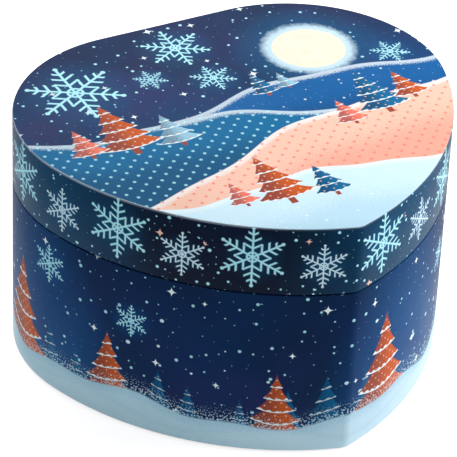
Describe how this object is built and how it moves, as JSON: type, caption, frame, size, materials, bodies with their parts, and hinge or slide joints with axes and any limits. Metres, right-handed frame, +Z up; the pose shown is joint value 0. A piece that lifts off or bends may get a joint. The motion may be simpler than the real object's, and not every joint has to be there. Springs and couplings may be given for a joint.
{
  "type": "wind up music box",
  "caption": "Heart-shaped, paper-covered keepsake box with a hinged mirrored lid, lined compartments and a key-wound musical movement that turns a fir-tree figurine.",
  "frame": {"origin": "on the underside, on the plane of symmetry, level with the centres of the two lobes", "axes": "+Z up, -Y towards the tip of the heart, +Y towards the flat back with the hinges and the key"},
  "size_m": [0.16, 0.1579, 0.094],
  "materials": {
    "printed_paper": "satin laminated print",
    "greyboard": "raw board",
    "underside_felt": "pressed felt",
    "lining_paper": "lined paper",
    "flock": "flocked",
    "stage_board": "paper-covered board",
    "mirror_glass": "silvered glass",
    "hinge_brass": "polished",
    "key_steel": "nickel plated",
    "frame_metal": "cast",
    "movement_steel": "ground",
    "movement_brass": "machined",
    "fan_plastic": "moulded",
    "figurine_wood": "painted, turned",
    "star_gilt": "gilt paint"
  },
  "bodies": {
    "case": {"base_felt": "underside_felt", "base_floor": "greyboard", "base_wall": "greyboard", "base_wrap": "printed_paper", "base_liner": "lining_paper", "floor_pad": "flock", "divider_left": "stage_board", "divider_right": "stage_board", "stage_cover": "stage_board", "stage_felt": "flock", "spindle_bush": "movement_brass", "stop_eyelet": "movement_brass", "key_escutcheon": "key_steel", "movement_frame": "frame_metal", "movement_screws": "key_steel", "comb_base": "frame_metal", "comb": "movement_steel", "comb_screws": "movement_steel", "governor_bracket": "frame_metal", "bracket_screw": "movement_steel", "hinge_base_leaf_left": "hinge_brass", "hinge_base_leaf_right": "hinge_brass", "hinge_pin_left": "hinge_brass", "hinge_pin_right": "hinge_brass", "hinge_base_screws": "hinge_brass"},
    "lid": {"lid_wall": "greyboard", "lid_board": "greyboard", "lid_wrap": "printed_paper", "lid_sheet": "printed_paper", "lid_side_lining": "lining_paper", "lid_panel": "lining_paper", "lid_mirror": "mirror_glass", "stop_striker": "lining_paper", "hinge_lid_leaf_left": "hinge_brass", "hinge_lid_leaf_right": "hinge_brass", "hinge_lid_screws": "hinge_brass"},
    "winder": {"winding_key": "key_steel", "winding_arbor": "movement_steel", "ratchet_wheel": "movement_steel"},
    "pawl": {"click": "movement_steel"},
    "barrel": {"spring_barrel": "movement_brass", "barrel_cap": "movement_brass", "mainspring": "movement_steel"},
    "cylinder": {"cylinder_drum": "movement_brass", "cylinder_arbor": "movement_steel", "cylinder_pinion": "movement_brass", "cylinder_wheel": "movement_brass", "figurine_plinth": "figurine_wood", "figurine_tree": "figurine_wood", "figurine_star": "star_gilt"},
    "governor": {"governor_arbor": "movement_steel", "governor_pinion": "movement_brass", "worm_wheel": "movement_brass"},
    "fan": {"worm_shaft": "movement_steel", "air_fan": "fan_plastic"},
    "stop": {"stop_wire": "movement_steel"}
  },
  "joints": [
    {"name": "lid_hinge", "type": "hinge", "parent": "case", "child": "lid", "pos_m": [0, 0.05605, 0.067], "axis": [-1, 0, 0], "range_deg": [0, 100]},
    {"name": "stop_slide", "type": "slide", "parent": "case", "child": "stop", "axis": [0, 0, 1], "range_m": [0, 0.004]},
    {"name": "key_turn", "type": "hinge", "parent": "case", "child": "winder", "pos_m": [0, 0.0501, 0.0206], "axis": [0, -1, 0], "range_deg": [0, 1890]},
    {"name": "pawl_rock", "type": "hinge", "parent": "case", "child": "pawl", "pos_m": [0.009, 0.0501, 0.0278], "axis": [0, 1, 0], "range_deg": [0, 8], "stiffness_Nm_per_rad": 0.0002, "springref_deg": -5.73},
    {"name": "barrel_spin", "type": "hinge", "parent": "case", "child": "barrel", "pos_m": [0, 0.0501, 0.0206], "axis": [0, -1, 0], "continuous": true},
    {"name": "cylinder_spin", "type": "hinge", "parent": "case", "child": "cylinder", "pos_m": [0, 0.0273, 0.0206], "axis": [0, 0, 1], "continuous": true},
    {"name": "governor_spin", "type": "hinge", "parent": "case", "child": "governor", "pos_m": [-0.01102, 0.02041, 0.0206], "axis": [0, 0, 1], "continuous": true},
    {"name": "fan_spin", "type": "hinge", "parent": "case", "child": "fan", "pos_m": [-0.01762, 0.02041, 0.0221], "axis": [0, -1, 0], "continuous": true}
  ],
  "couplings": [
    {"joint": "stop_slide", "follows": "lid_hinge", "m_per_rad": 0.00229},
    {"joint": "cylinder_spin", "follows": "barrel_spin", "ratio": 1.7143},
    {"joint": "governor_spin", "follows": "barrel_spin", "ratio": -5.7143},
    {"joint": "fan_spin", "follows": "barrel_spin", "ratio": 148.57}
  ]
}
